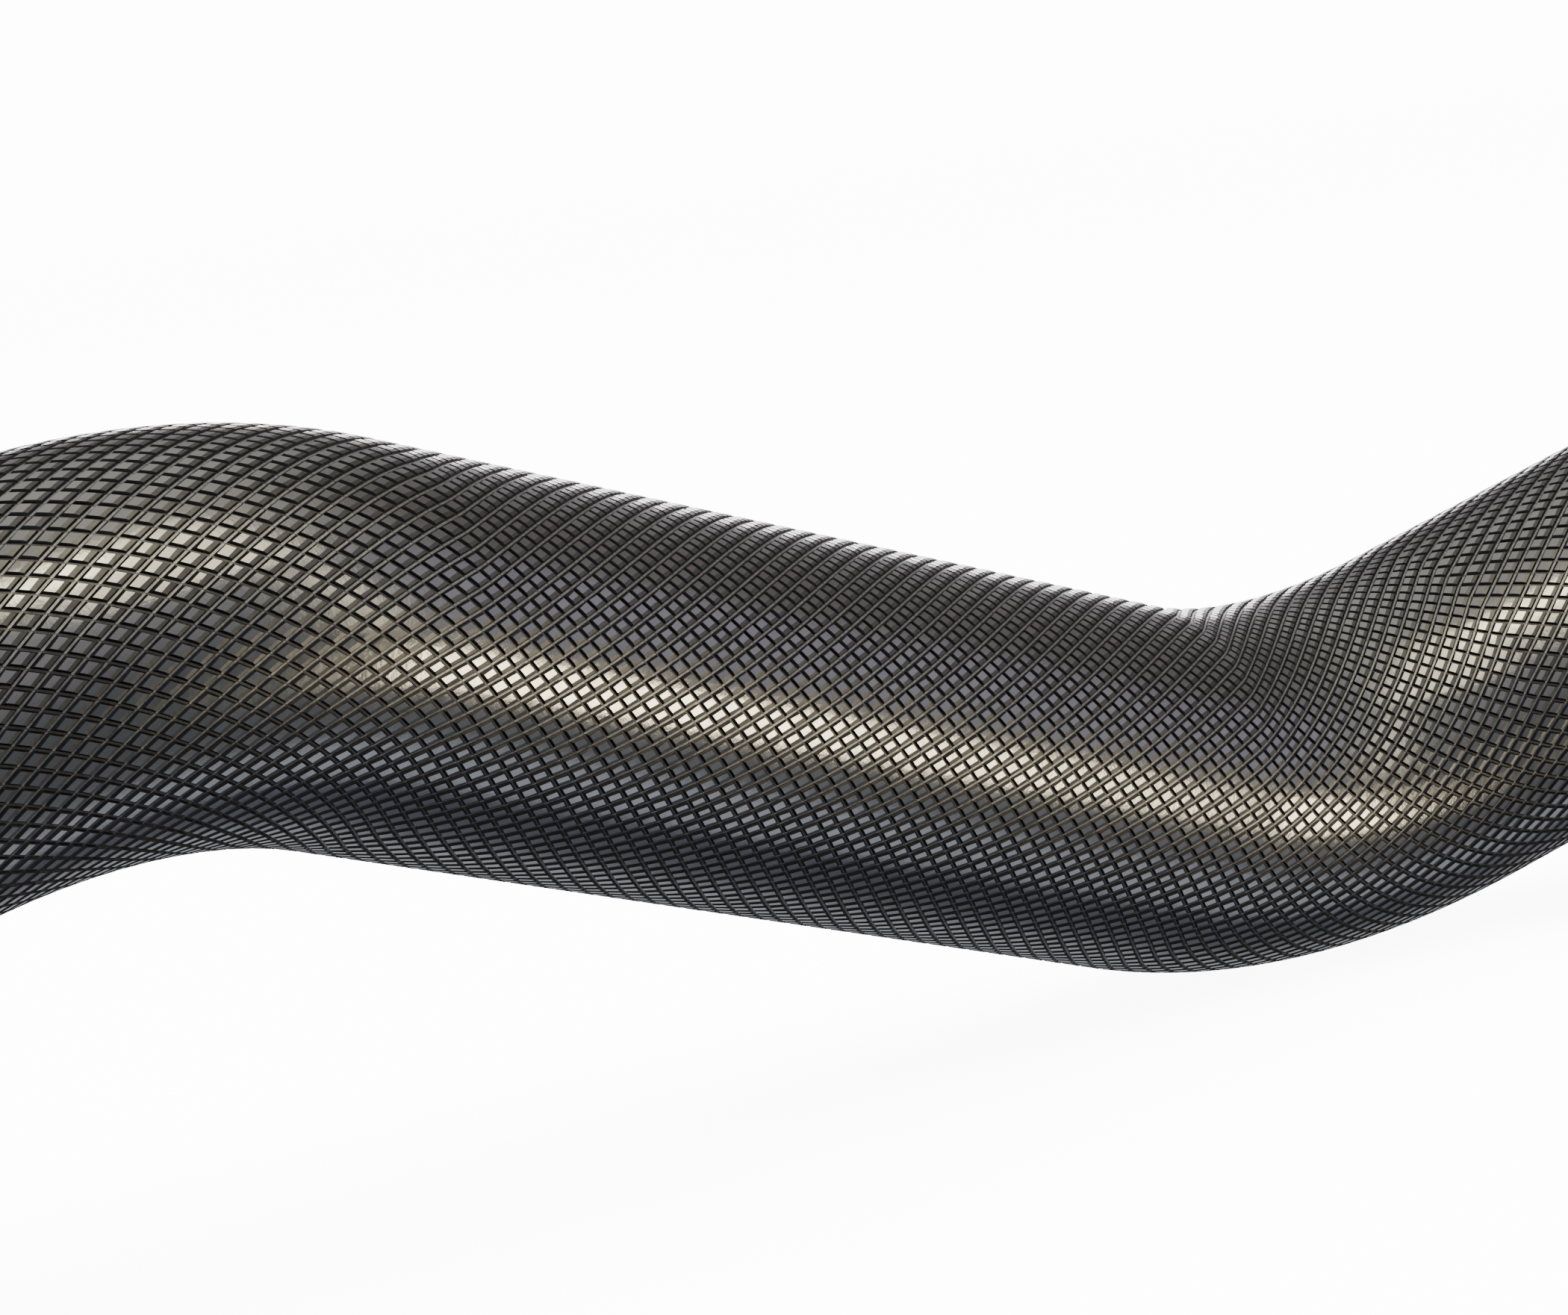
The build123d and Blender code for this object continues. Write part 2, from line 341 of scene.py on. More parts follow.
def makeKnurlSteel(finish):
    material, tree, shader, coordinates = newFinish("knurledSteel")
    crest = addNode(tree, "ShaderNodeAttribute", attribute_name="crest").outputs["Fac"]
    tone = addNode(tree, "ShaderNodeAttribute", attribute_name="cutTone").outputs["Fac"]
    handled, shadePatches, polish = [
        useGroup(tree, mottleGroup, Coordinates=coordinates, Scale=scale, Low=low, High=high)
        for scale, (low, high) in (
            (finish["handledPatch"], (0.0, 1.0)), (finish["grooveShadePatch"], (0.0, 1.0)),
            (finish["polishPatch"], finish["polish"]))]
    dull = calc(tree, "MULTIPLY", calc(tree, "ADD", handled["Value"], tone), 0.5)
    top = blendColour(tree, dull, finish["crest"], finish["crestDull"])
    # painted shade: the grooves blend toward the near-black colour by the amount the knurl tree
    # marks
    grooveShade = addNode(tree, "ShaderNodeAttribute", attribute_name="grooveShade").outputs["Fac"]
    groove = blendColour(tree, grooveShade, finish["valley"], finish["grooveShade"])
    # painted shade in the grooves, darker still in random patches
    valley = blendColour(
        tree, calc(tree, "MULTIPLY", shadePatches["Value"], finish["patchyGrooveShadeShare"]), groove,
        finish["patchyGrooveShade"])
    feed(tree, shader.inputs["Base Color"], blendColour(tree, crest, valley, top))
    shader.inputs["Metallic"].default_value = 1.0
    valleyRough = calc(tree, "ADD", polish["Value"], finish["valleyRough"])
    roughness = addNode(tree, "ShaderNodeMix", data_type="FLOAT")
    feed(tree, roughness.inputs["Factor"], crest)
    feed(tree, roughness.inputs["A"], valleyRough)
    feed(tree, roughness.inputs["B"], polish["Value"])
    feed(tree, shader.inputs["Roughness"], roughness.outputs["Result"])
    fine = addNode(tree, "ShaderNodeTexNoise", noise_dimensions="3D")
    fine.inputs["Scale"].default_value = finish["grainFine"]
    fine.inputs["Detail"].default_value = finish["grainDetail"]
    feed(tree, fine.inputs["Vector"], coordinates)
    addBump(tree, shader, fine.outputs["Fac"], finish["grainDepth"])
    return material


def makeTurnedFinish(name, finish):
    # machined metal: rings from the tool, uneven polish and a few scuffs
    material, tree, shader, coordinates = newFinish(name)
    marks = useGroup(
        tree, latheGroup, Coordinates=coordinates, Rings=finish["rings"], Streak=1.0)
    polish = useGroup(
        tree, mottleGroup, Coordinates=coordinates, Scale=finish["patch"],
        Low=finish["polish"][0], High=finish["polish"][1])
    scuffs = useGroup(
        tree, scuffGroup, Coordinates=coordinates, Density=finish["scuffDensity"],
        Amount=finish["scuffs"])
    streaked = calc(tree, "MULTIPLY", calc(tree, "SUBTRACT", marks["Streaks"], 0.5),
                    finish["streakRough"])
    roughness = calc(tree, "ADD", calc(tree, "ADD", polish["Value"], streaked),
                     calc(tree, "MULTIPLY", scuffs["Mask"], groups["scuffRough"]))
    feed(tree, shader.inputs["Roughness"], roughness)
    worn = blendColour(tree, marks["Streaks"], finish["colour"], finish["second"])
    feed(tree, shader.inputs["Base Color"],
         blendColour(tree, scuffs["Mask"], worn, finish["scuffColour"]))
    shader.inputs["Metallic"].default_value = 1.0
    addBump(tree, shader, marks["Height"], finish["ringDepth"])
    return material


plainSteel = dict(
    colour=(0.40, 0.395, 0.40, 1), second=(0.33, 0.33, 0.34, 1), scuffColour=(0.55, 0.54, 0.53, 1),
    rings=3200.0, ringDepth=0.000006, patch=90.0, polish=(0.22, 0.34), streakRough=0.14,
    scuffs=0.5, scuffDensity=70.0)
chrome = dict(
    colour=(0.66, 0.66, 0.67, 1), second=(0.60, 0.60, 0.615, 1), scuffColour=(0.48, 0.48, 0.49, 1),
    rings=1500.0, ringDepth=0.000003, patch=45.0, polish=(0.07, 0.17), streakRough=0.10,
    scuffs=0.8, scuffDensity=45.0)
stopSteel = dict(
    colour=(0.46, 0.455, 0.455, 1), second=(0.38, 0.38, 0.385, 1), scuffColour=(0.6, 0.6, 0.6, 1),
    rings=2600.0, ringDepth=0.000006, patch=120.0, polish=(0.2, 0.3), streakRough=0.16,
    scuffs=0.4, scuffDensity=90.0)
washerSteel = dict(
    colour=(0.56, 0.56, 0.56, 1), second=(0.47, 0.47, 0.475, 1), scuffColour=(0.4, 0.4, 0.4, 1),
    rings=4000.0, ringDepth=0.000004, patch=150.0, polish=(0.24, 0.36), streakRough=0.12,
    scuffs=0.4, scuffDensity=120.0)
capSteel = dict(
    colour=(0.52, 0.52, 0.525, 1), second=(0.43, 0.43, 0.44, 1), scuffColour=(0.62, 0.62, 0.62, 1),
    rings=1800.0, ringDepth=0.000012, patch=70.0, polish=(0.18, 0.28), streakRough=0.18,
    scuffs=0.6, scuffDensity=70.0)
bronze = dict(
    colour=(0.58, 0.38, 0.19, 1), second=(0.44, 0.27, 0.13, 1), scuffColour=(0.70, 0.50, 0.28, 1),
    rings=2200.0, ringDepth=0.000006, patch=200.0, polish=(0.3, 0.45), streakRough=0.1,
    scuffs=0.3, scuffDensity=100.0)
blackSteel = dict(
    colour=(0.075, 0.075, 0.08, 1), second=(0.05, 0.05, 0.055, 1), scuffColour=(0.3, 0.3, 0.3, 1),
    rings=2400.0, ringDepth=0.000005, patch=180.0, polish=(0.34, 0.5), streakRough=0.08,
    scuffs=0.5, scuffDensity=110.0)

knurlSteel = makeKnurlSteel(knurlFinish)
finishes = dict(
    grip_steel=makeTurnedFinish("plainSteel", plainSteel),
    chrome=makeTurnedFinish("chromePlate", chrome),
    turned_steel=makeTurnedFinish("stopRingSteel", stopSteel),
    washer_steel=makeTurnedFinish("washerSteel", washerSteel),
    cap_steel=makeTurnedFinish("capSteel", capSteel),
    bronze=makeTurnedFinish("sinteredBronze", bronze),
    black_steel=makeTurnedFinish("blackOxideSteel", blackSteel),
)
print("finishes mixed")


# the bar's centre line, straight runs and true arcs
def makeCentreLine(bar):
    points = [(-bar["endX"], 0)] + bar["corners"] + [(bar["endX"], 0)]
    knots = [(onBar(*points[0]), None, None)]
    for before, corner, after in zip(points, points[1:], points[2:]):
        corner = onBar(*corner)
        inward = (onBar(*before) - corner).normalized()
        onward = (onBar(*after) - corner).normalized()
        turn = math.pi - inward.angle(onward)
        tangent = bar["bendRadius"] * math.tan(turn / 2)
        handle = bar["bendRadius"] * 4 / 3 * math.tan(turn / 4)
        start = corner + inward * tangent
        end = corner + onward * tangent
        knots.append((start, None, start - inward * handle))
        knots.append((end, end - onward * handle, None))
    knots.append((onBar(*points[-1]), None, None))
    data = bpy.data.curves.new("centreLine", "CURVE")
    data.dimensions = "3D"
    data.resolution_u = bar["lineSteps"]
    spline = data.splines.new("BEZIER")
    spline.bezier_points.add(len(knots) - 1)
    for knot, (place, left, right) in zip(spline.bezier_points, knots):
        knot.handle_left_type = knot.handle_right_type = "FREE"
        knot.co = place
        knot.handle_left = left or place
        knot.handle_right = right or place
    line = bpy.data.objects.new("centreLine", data)
    bpy.context.collection.objects.link(line)
    return line, spline.calc_length()


centreLine, lineLength = makeCentreLine(bar)


# knurl: two families of grooves that cut the bar into flat-topped diamonds
knurl = dict(
    starts=63,              # diamonds round the bar
    lead=0.0024,            # along the bar, from one diamond to the next
    crestRadius=0.0140,
    grooveDepth=0.00019,
    landWidth=0.67,         # each land, as a share of a diamond
    landStretch=1.09,       # how much longer it is along the lower groove
    grooveWidth=0.13,       # flat groove floor, likewise
    shoulder=0.76,          # height of the land's edge, as a share of the depth
    crownWidth=0.66,        # flat crown, as a share of the land; one side is dressed off
    crownShift=-0.46,       # of the width dressed off; -0.5 puts the crown against one side
    crownLength=0.93,       # along the lower groove, as a share of the land
    widestCrown=1.12,       # of the crown width
    unevenLand=0.04,
    unevenCrown=0.2,
    unevenHeight=0.10,
    dressedFrom=0.1,        # how far off a diamond's middle its dressed side starts
    dressedPolish=0.12,     # of a land's polish, on its dressed side
    dressedShade=0.84,      # share of the painted groove shade on a land's dressed side
    crossingShade=0.8,      # share of the painted groove shade on the floors of the crossing grooves
    weld=0.000008,          # points closer than this are joined
    seed=7,
)


def makeKnurlTree():
    tree, source, result = newTree(
        "knurling", "GeometryNodeTree",
        [("Centre Line", "NodeSocketObject", None), ("Length", "NodeSocketFloat", 0.7),
         ("From", "NodeSocketFloat", 0.0), ("To", "NodeSocketFloat", 0.1),
         ("Starts", "NodeSocketInt", 63), ("Lead", "NodeSocketFloat", 0.0024),
         ("Crest Radius", "NodeSocketFloat", 0.014), ("Groove Depth", "NodeSocketFloat", 0.00016),
         ("Land Width", "NodeSocketFloat", 0.67), ("Groove Width", "NodeSocketFloat", 0.14),
         ("Shoulder", "NodeSocketFloat", 0.75), ("Crown Width", "NodeSocketFloat", 0.65),
         ("Crown Shift", "NodeSocketFloat", -0.46), ("Uneven Land", "NodeSocketFloat", 0.03),
         ("Uneven Crown", "NodeSocketFloat", 0.1), ("Uneven Height", "NodeSocketFloat", 0.05),
         ("Crown Length", "NodeSocketFloat", 0.93), ("Widest Crown", "NodeSocketFloat", 1.12),
         ("Dressed Polish", "NodeSocketFloat", 0.1), ("Dressed Shade", "NodeSocketFloat", 0.8),
         ("Dressed From", "NodeSocketFloat", 0.1), ("Crossing Shade", "NodeSocketFloat", 0.8),
         ("Weld", "NodeSocketFloat", 0.000008),
         ("Bend Normal", "NodeSocketVector", None), ("Seed", "NodeSocketInt", 7),
         ("Land Stretch", "NodeSocketFloat", 1.1), ("Material", "NodeSocketMaterial", None)],
        [("Mesh", "NodeSocketGeometry")])
    halfLead = calc(tree, "MULTIPLY", source["Lead"], 0.5)

    # a sheet of unit squares, each of which becomes one diamond
    span = calc(tree, "SUBTRACT", source["To"], source["From"])
    rows = calc(tree, "ADD", calc(tree, "CEIL", calc(tree, "DIVIDE", span, halfLead)),
                calc(tree, "ADD", source["Starts"], 2))
    firstRow = calc(tree, "SUBTRACT",
                    calc(tree, "FLOOR", calc(tree, "DIVIDE", source["From"], halfLead)),
                    source["Starts"])
    sheet = addNode(tree, "GeometryNodeMeshGrid")
    feed(tree, sheet.inputs["Size X"], source["Starts"])
    feed(tree, sheet.inputs["Size Y"], rows)
    feed(tree, sheet.inputs["Vertices X"], calc(tree, "ADD", source["Starts"], 1))
    feed(tree, sheet.inputs["Vertices Y"], calc(tree, "ADD", rows, 1))
    shift = addNode(tree, "ShaderNodeCombineXYZ")
    feed(tree, shift.inputs["X"], calc(tree, "MULTIPLY", source["Starts"], 0.5))
    feed(tree, shift.inputs["Y"], calc(tree, "ADD", calc(tree, "MULTIPLY", rows, 0.5), firstRow))
    moved = addNode(tree, "GeometryNodeSetPosition")
    feed(tree, moved.inputs["Geometry"], sheet.outputs["Mesh"])
    feed(tree, moved.inputs["Offset"], shift.outputs[0])

    # keep the squares that lie on this stretch of the bar
    spot = addNode(tree, "ShaderNodeSeparateXYZ")
    feed(tree, spot.inputs[0], addNode(tree, "GeometryNodeInputPosition").outputs[0])
    u, v, rise = spot.outputs
    along = calc(tree, "MULTIPLY", calc(tree, "ADD", u, v), halfLead)
    outside = calc(tree, "MAXIMUM", calc(tree, "LESS_THAN", along, source["From"]),
                   calc(tree, "SUBTRACT", 1.0, calc(tree, "LESS_THAN", along, source["To"])))
    trimmed = addNode(tree, "GeometryNodeDeleteGeometry", domain="FACE")
    feed(tree, trimmed.inputs["Geometry"], moved.outputs[0])
    feed(tree, trimmed.inputs["Selection"], outside)

    # each square gets a ring of groove floor, a ring of flanks and a dressed crown
    def shrink(geometry, chosen, share, axis=None):
        made = addNode(tree, "GeometryNodeScaleElements")
        if axis:
            made.scale_mode = "SINGLE_AXIS"
            made.inputs["Axis"].default_value = axis
        feed(tree, made.inputs["Geometry"], geometry)
        feed(tree, made.inputs["Selection"], chosen)
        feed(tree, made.inputs["Scale"], share)
        return made.outputs["Geometry"]

    def ringFrom(geometry, chosen=None):
        made = addNode(tree, "GeometryNodeExtrudeMesh")
        made.inputs["Offset Scale"].default_value = 0.0
        feed(tree, made.inputs["Mesh"], geometry)
        if chosen:
            feed(tree, made.inputs["Selection"], chosen)
        return made.outputs

    def shiftBy(geometry, chosen, offset):
        made = addNode(tree, "GeometryNodeSetPosition")
        feed(tree, made.inputs["Geometry"], geometry)
        feed(tree, made.inputs["Selection"], chosen)
        feed(tree, made.inputs["Offset"], offset)
        return made.outputs[0]

    def spread(low, high, step):
        made = addNode(tree, "FunctionNodeRandomValue", data_type="FLOAT")
        feed(tree, made.inputs[2], low)
        feed(tree, made.inputs[3], high)
        feed(tree, made.inputs["Seed"], calc(tree, "ADD", source["Seed"], step))
        return made.outputs[1]

    def mark(geometry, name, value, domain="FACE", kind="FLOAT"):
        made = addNode(tree, "GeometryNodeStoreNamedAttribute", data_type=kind, domain=domain)
        made.inputs["Name"].default_value = name
        feed(tree, made.inputs["Geometry"], geometry)
        feed(tree, made.inputs["Value"], value)
        return made.outputs[0]

    def weld(geometry):
        made = addNode(tree, "GeometryNodeMergeByDistance")
        feed(tree, made.inputs["Geometry"], geometry)
        feed(tree, made.inputs["Distance"], source["Weld"])
        return made.outputs[0]

    floorShare = calc(tree, "SUBTRACT", 1.0, source["Groove Width"])
    floored = ringFrom(trimmed.outputs[0])
    inner = shrink(floored["Mesh"], floored["Top"], floorShare)
    raised = ringFrom(inner, floored["Top"])
    wobble = spread(calc(tree, "MULTIPLY", source["Uneven Land"], -1.0), source["Uneven Land"], 0)
    landShare = calc(tree, "DIVIDE", calc(tree, "ADD", source["Land Width"], wobble), floorShare)
    land = shrink(raised["Mesh"], raised["Top"], landShare)
    land = shrink(land, raised["Top"], source["Land Stretch"], (0, 1, 0))
    shoulder = addNode(tree, "ShaderNodeCombineXYZ")
    feed(tree, shoulder.inputs["Z"], source["Shoulder"])
    land = shiftBy(land, raised["Top"], shoulder.outputs[0])
    crowned = ringFrom(land, raised["Top"])
    crownShare = calc(tree, "MULTIPLY", source["Crown Width"],
                      spread(calc(tree, "SUBTRACT", 1.0, source["Uneven Crown"]),
                             source["Widest Crown"], 1))
    crown = shrink(crowned["Mesh"], crowned["Top"], source["Crown Length"], (0, 1, 0))
    crown = shrink(crown, crowned["Top"], crownShare, (1, 0, 0))
    rest = calc(tree, "SUBTRACT", 1.0, source["Shoulder"])
    crownLift = addNode(tree, "ShaderNodeCombineXYZ")
    spare = calc(tree, "MULTIPLY", calc(tree, "SUBTRACT", 1.0, crownShare),
                 calc(tree, "ADD", source["Land Width"], wobble))
    feed(tree, crownLift.inputs["X"], calc(tree, "MULTIPLY", spare, source["Crown Shift"]))
    feed(tree, crownLift.inputs["Z"],
         calc(tree, "MULTIPLY", rest,
              spread(calc(tree, "SUBTRACT", 1.0, source["Uneven Height"]), 1.0, 2)))
    lifted = shiftBy(crown, crowned["Top"], crownLift.outputs[0])

    # what the finish reads: lands, and painted shade on the flanks, the dressed sides and the
    # darker floors of the crossing grooves
    fromMiddle = [
        calc(tree, "SUBTRACT", calc(tree, "FRACT", axis), 0.5) for axis in (u, v)]
    crossing = calc(tree, "GREATER_THAN", calc(tree, "ABSOLUTE", fromMiddle[1]),
                    calc(tree, "ABSOLUTE", fromMiddle[0]))
    dressed = calc(tree, "MULTIPLY", crowned["Side"],
                   calc(tree, "GREATER_THAN", fromMiddle[0], source["Dressed From"]))
    steep = calc(tree, "SUBTRACT", crowned["Side"], dressed)
    # painted shade: the floors of the crossing grooves, the steep walls and the dressed sides take
    # the dark groove colour
    darkFloor = calc(tree, "MULTIPLY", calc(tree, "MULTIPLY", floored["Side"], crossing),
                     source["Crossing Shade"])
    crest = calc(tree, "MAXIMUM", crowned["Top"],
                 calc(tree, "MULTIPLY", dressed, source["Dressed Polish"]))
    grooveShade = calc(tree, "MAXIMUM", calc(tree, "MAXIMUM", raised["Side"], steep),
                 calc(tree, "MAXIMUM", darkFloor,
                      calc(tree, "MULTIPLY", dressed, source["Dressed Shade"])))
    marked = mark(lifted, "crest", crest)
    marked = mark(marked, "grooveShade", grooveShade)
    marked = mark(marked, "crown", crowned["Top"])
    marked = mark(marked, "cutTone", spread(0.0, 1.0, 3))

    # roll the sheet round the bar's centre line
    lineInfo = addNode(tree, "GeometryNodeObjectInfo", transform_space="RELATIVE")
    feed(tree, lineInfo.inputs["Object"], source["Centre Line"])
    line = addNode(tree, "GeometryNodeSampleCurve", mode="LENGTH")
    feed(tree, line.inputs["Curves"], lineInfo.outputs["Geometry"])
    feed(tree, line.inputs["Length"],
         calc(tree, "ADD", along, calc(tree, "MULTIPLY", source["Length"], 0.5)))
    inPlane = vectorCalc(
        tree, "NORMALIZE",
        vectorCalc(tree, "CROSS_PRODUCT", source["Bend Normal"], line.outputs["Tangent"]))
    turn = calc(tree, "MULTIPLY", calc(tree, "SUBTRACT", u, v),
                calc(tree, "DIVIDE", math.pi, source["Starts"]))
    outward = vectorCalc(
        tree, "ADD",
        vectorCalc(tree, "SCALE", inPlane, scale=calc(tree, "COSINE", turn)),
        vectorCalc(tree, "SCALE", source["Bend Normal"], scale=calc(tree, "SINE", turn)))
    sunk = calc(tree, "MULTIPLY", calc(tree, "SUBTRACT", 1.0, rise), source["Groove Depth"])
    radius = calc(tree, "SUBTRACT", source["Crest Radius"], sunk)
    ordered = addNode(tree, "GeometryNodeCaptureAttribute", domain="POINT")
    ordered.capture_items.new("VECTOR", "outward")
    ordered.capture_items.new("FLOAT", "farHalf")
    feed(tree, ordered.inputs["Geometry"], marked)
    feed(tree, ordered.inputs["outward"], outward)
    middle = calc(tree, "MULTIPLY", calc(tree, "ADD", source["From"], source["To"]), 0.5)
    feed(tree, ordered.inputs["farHalf"], calc(tree, "GREATER_THAN", along, middle))
    rolled = addNode(tree, "GeometryNodeSetPosition")
    feed(tree, rolled.inputs["Geometry"], ordered.outputs["Geometry"])
    feed(tree, rolled.inputs["Position"],
         vectorCalc(tree, "ADD", line.outputs["Position"],
                    vectorCalc(tree, "SCALE", outward, scale=radius)))
    welded = weld(mark(rolled.outputs[0], "roundNormal", ordered.outputs["outward"],
                       "POINT", "FLOAT_VECTOR"))

    # the rim has one face to an edge; a flat cone with its tip on the centre line closes it
    rim = calc(tree, "COMPARE",
               addNode(tree, "GeometryNodeInputMeshEdgeNeighbors").outputs[0], 1.0, 0.1)
    capped = addNode(tree, "GeometryNodeExtrudeMesh", mode="EDGES")
    capped.inputs["Offset Scale"].default_value = 0.0
    feed(tree, capped.inputs["Mesh"], welded)
    feed(tree, capped.inputs["Selection"], rim)
    tip = addNode(tree, "GeometryNodeSampleCurve", mode="LENGTH")
    feed(tree, tip.inputs["Curves"], lineInfo.outputs["Geometry"])
    station = calc(tree, "ADD", source["From"],
                   calc(tree, "MULTIPLY", ordered.outputs["farHalf"], span))
    feed(tree, tip.inputs["Length"],
         calc(tree, "ADD", station, calc(tree, "MULTIPLY", source["Length"], 0.5)))
    drawnIn = addNode(tree, "GeometryNodeSetPosition")
    feed(tree, drawnIn.inputs["Geometry"], capped.outputs["Mesh"])
    feed(tree, drawnIn.inputs["Selection"], capped.outputs["Top"])
    feed(tree, drawnIn.inputs["Position"], tip.outputs["Position"])

    # lands shade as the turned bar they were cut from, grooves as they lie
    isLand = addNode(tree, "GeometryNodeInputNamedAttribute", data_type="FLOAT")
    isLand.inputs["Name"].default_value = "crown"
    roundNormal = addNode(tree, "GeometryNodeInputNamedAttribute", data_type="FLOAT_VECTOR")
    roundNormal.inputs["Name"].default_value = "roundNormal"
    flatNormal = addNode(tree, "GeometryNodeInputNormal").outputs["True Normal"]
    pick = addNode(tree, "GeometryNodeSwitch", input_type="VECTOR")
    feed(tree, pick.inputs["Switch"], isLand.outputs[0])
    feed(tree, pick.inputs["False"], flatNormal)
    feed(tree, pick.inputs["True"], roundNormal.outputs[0])
    shaded = addNode(tree, "GeometryNodeSetMeshNormal", mode="FREE", domain="CORNER")
    feed(tree, shaded.inputs["Mesh"], weld(drawnIn.outputs[0]))
    feed(tree, shaded.inputs["Custom Normal"], pick.outputs[0])
    realized = addNode(tree, "GeometryNodeRealizeInstances")
    feed(tree, realized.inputs[0], shaded.outputs[0])
    finished = addNode(tree, "GeometryNodeSetMaterial")
    feed(tree, finished.inputs["Geometry"], realized.outputs[0])
    feed(tree, finished.inputs["Material"], source["Material"])
    feed(tree, result["Mesh"], finished.outputs[0])
    return tree


def makeKnurl(knurl, bar):
    tree = makeKnurlTree()
    lean = bar["lean"]
    lost = 2 * bar["bendRadius"] * (math.tan(lean) - lean)      # a bend's short cut
    outerLost = 2 * bar["bendRadius"] * (math.tan(lean / 2) - lean / 2)
    outerGrip = (bar["outerX"] - bar["corners"][3][0]) / math.cos(lean)
    lowBend = bar["innerGrip"] - lost
    knurlEnd = lowBend + outerGrip - outerLost - lost / 2 + bar["knurlPastBend"]
    outerBend = (lowBend + knurlEnd) / 2
    stretches = dict(
        knurlEndLeft=(-knurlEnd, -outerBend), knurlOuterLeft=(-outerBend, -lowBend),
        knurlInnerLeft=(-lowBend, 0), knurlInnerRight=(0, lowBend),
        knurlOuterRight=(lowBend, outerBend), knurlEndRight=(outerBend, knurlEnd))
    # landWidth goes to the input Land Width, and so on
    sizes = {re.sub("([A-Z])", r" \1", key).title(): value for key, value in knurl.items()}
    for name, (start, end) in stretches.items():
        piece = makeFromTree(name, tree, {
            "Centre Line": centreLine, "Length": lineLength, "From": start, "To": end,
            "Bend Normal": bar["normal"], "Material": knurlSteel, **sizes})
        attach(piece, "bar")
        if name == "knurlInnerRight":
            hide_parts("shaft")
        print(name, len(piece.data.polygons), "faces")


makeKnurl(knurl, bar)
print("knurl cut")


# turned pieces, each an outline spun about the X axis
def roundOutline(outline, closed, arcSteps=5, longest=0.45, flatShare=0.25):
    # each corner is (x, radius, rounding); a rounded one becomes a small arc
    points = []
    count = len(outline)
    for i, (x, r, rounding) in enumerate(outline):
        here = Vector((x, r))
        if rounding == 0 or (not closed and i in (0, count - 1)):
            points.append(here)
            continue
        before = Vector(outline[i - 1][:2]) - here
        after = Vector(outline[(i + 1) % count][:2]) - here
        half = before.angle(after) / 2
        setback = min(rounding / math.tan(half), before.length * longest, after.length * longest)
        start = here + before.normalized() * setback
        end = here + after.normalized() * setback
        steady = flatShare * setback      # keeps the flats flat in a smooth shading
        points.append(start + before.normalized() * steady)
        for step in range(arcSteps + 1):
            t = step / arcSteps
            points.append(start * (1 - t) ** 2 + here * 2 * t * (1 - t) + end * t ** 2)
        points.append(end + after.normalized() * steady)
    return points


def spin(name, outline, side, closed, segments=160, sharpFrom=math.radians(32)):
    shell = bmesh.new()
    rings = []
    for x, r in roundOutline(outline, closed):
        if r < 1e-7:
            rings.append([shell.verts.new((side * x, 0, 0))])
            continue
        rings.append([
            shell.verts.new((side * x, r * math.cos(a), r * math.sin(a)))
            for a in (math.tau * i / segments for i in range(segments))])
    pairs = list(zip(rings, rings[1:]))
    if closed:
        pairs.append((rings[-1], rings[0]))
    for first, second in pairs:
        for i in range(segments):
            j = (i + 1) % segments
            if len(first) == 1:
                shell.faces.new((first[0], second[i], second[j]))
            elif len(second) == 1:
                shell.faces.new((first[i], first[j], second[0]))
            else:
                shell.faces.new((first[i], first[j], second[j], second[i]))
    bmesh.ops.recalc_face_normals(shell, faces=shell.faces)
    mesh = bpy.data.meshes.new(name)
    shell.to_mesh(mesh)
    shell.free()
    mesh.shade_smooth()
    mesh.set_sharp_from_angle(angle=sharpFrom)
    piece = bpy.data.objects.new(name, mesh)
    bpy.context.collection.objects.link(piece)
    return piece


def measure(node):
    # nearest and furthest station from the middle, and the outside radius
    low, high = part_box(node)
    return min(abs(low.x), abs(high.x)), max(abs(low.x), abs(high.x)), high.z


turned = dict(
    seatRadius=0.0245, boreRadius=0.020, journalRadius=0.0125, journalGap=0.00005,
    neckRadius=0.032, flangeThickness=0.012, rimChamfer=0.002, neckFillet=0.003,
    boreChamfer=0.00075, sleeveChamfer=0.001, stopBevel=0.0025,
    edge=0.0003, softEdge=0.0007, bevelEdge=0.0006, chamferEdge=0.0004, fineEdge=0.0002,
    lipEdge=0.00015,
    discSegments=192,
    knurlRun=0.0009,         # the plain bar slopes down into the knurl over this length
    plainRadius=0.01397,
    knurlTuck=0.00004,       # how far it starts below the groove floors
    knurlPlug=0.002, knurlLip=0.0004,       # how far it reaches into the knurl
)


def makePlainEnd(side, hand):
    shoulder = measure(hand + "_stop_ring")[0]
    shaftEnd = measure(hand + "_end_plate")[0]
    under = knurl["crestRadius"] - knurl["grooveDepth"] - turned["knurlTuck"]
    start = bar["outerX"] + bar["knurlPastBend"]
    outline = [
        (start - turned["knurlPlug"], 0, 0), (start - turned["knurlPlug"], under, 0),
        (start - turned["knurlLip"], under, 0),
        (start + turned["knurlRun"], turned["plainRadius"], turned["chamferEdge"]),
        (shoulder, turned["plainRadius"], turned["edge"]),
        (shoulder, turned["journalRadius"], 0),
        (shaftEnd, turned["journalRadius"], turned["edge"]), (shaftEnd, 0, 0)]
    return spin(hand + "PlainEnd", outline, side, False)


